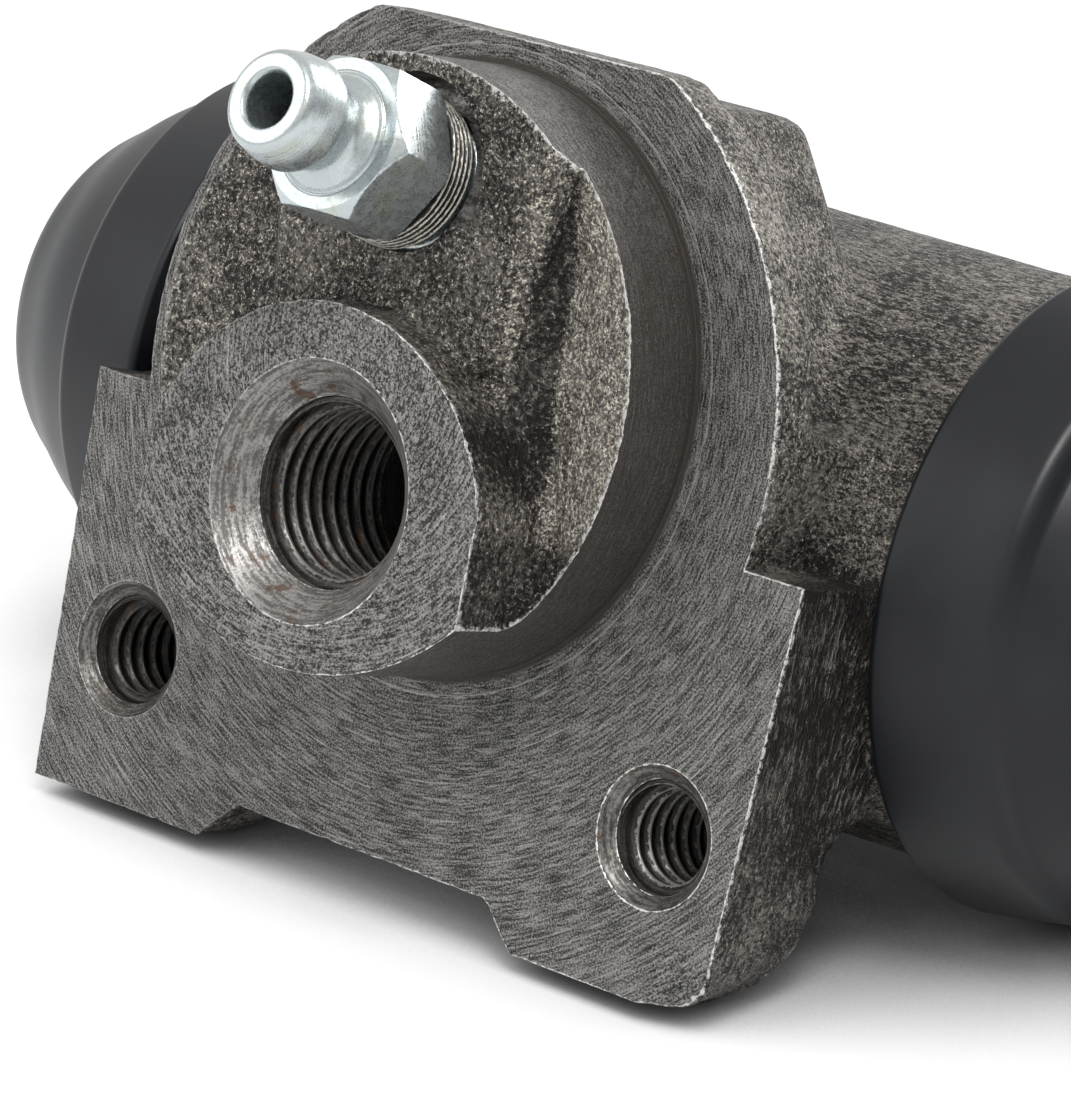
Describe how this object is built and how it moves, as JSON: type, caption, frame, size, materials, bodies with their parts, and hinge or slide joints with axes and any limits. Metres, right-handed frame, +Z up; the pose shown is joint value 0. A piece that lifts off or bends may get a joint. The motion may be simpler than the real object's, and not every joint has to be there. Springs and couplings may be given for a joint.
{
  "type": "drum brake wheel cylinder",
  "caption": "Drum brake wheel cylinder: iron housing with a round mounting flange and spigot, two opposed pistons under rubber boots, bleed screw and inlet port.",
  "frame": {"origin": "where the spigot's axis crosses the flange's front face, which bolts against the backing plate", "axes": "+X along the bore towards the right piston, -Y out of the flange face along the spigot, +Z up towards the bleed screw"},
  "size_m": [0.094, 0.0576, 0.0458],
  "materials": {
    "cast_housing": "as cast, with turned and drilled faces left bare",
    "zinc_steel": "bright zinc plate",
    "piston_metal": "turned",
    "seal_rubber": "smooth moulded",
    "spring_steel": "drawn wire and pressed sheet",
    "boot_rubber": "satin moulded"
  },
  "bodies": {
    "housing": {"housing": "cast_housing", "piston_spring": "spring_steel", "boot_left": "boot_rubber", "boot_right": "boot_rubber"},
    "left_piston": {"piston_left": "piston_metal", "cup_seal_left": "seal_rubber", "cup_expander_left": "spring_steel"},
    "right_piston": {"piston_right": "piston_metal", "cup_seal_right": "seal_rubber", "cup_expander_right": "spring_steel"},
    "bleeder": {"bleed_screw": "zinc_steel"}
  },
  "joints": [
    {"name": "left_piston_slide", "type": "slide", "parent": "housing", "child": "left_piston", "axis": [-1, 0, 0], "range_m": [-0.003, 0.006], "deforming": ["boot_left", "piston_spring"]},
    {"name": "right_piston_slide", "type": "slide", "parent": "housing", "child": "right_piston", "axis": [1, 0, 0], "range_m": [-0.003, 0.006], "deforming": ["boot_right", "piston_spring"]},
    {"name": "bleed_screw_turn", "type": "hinge", "parent": "housing", "child": "bleeder", "pos_m": [0, -0.0068, 0.01], "axis": [0, -0.9699, 0.2436], "range_deg": [0, 360]}
  ]
}
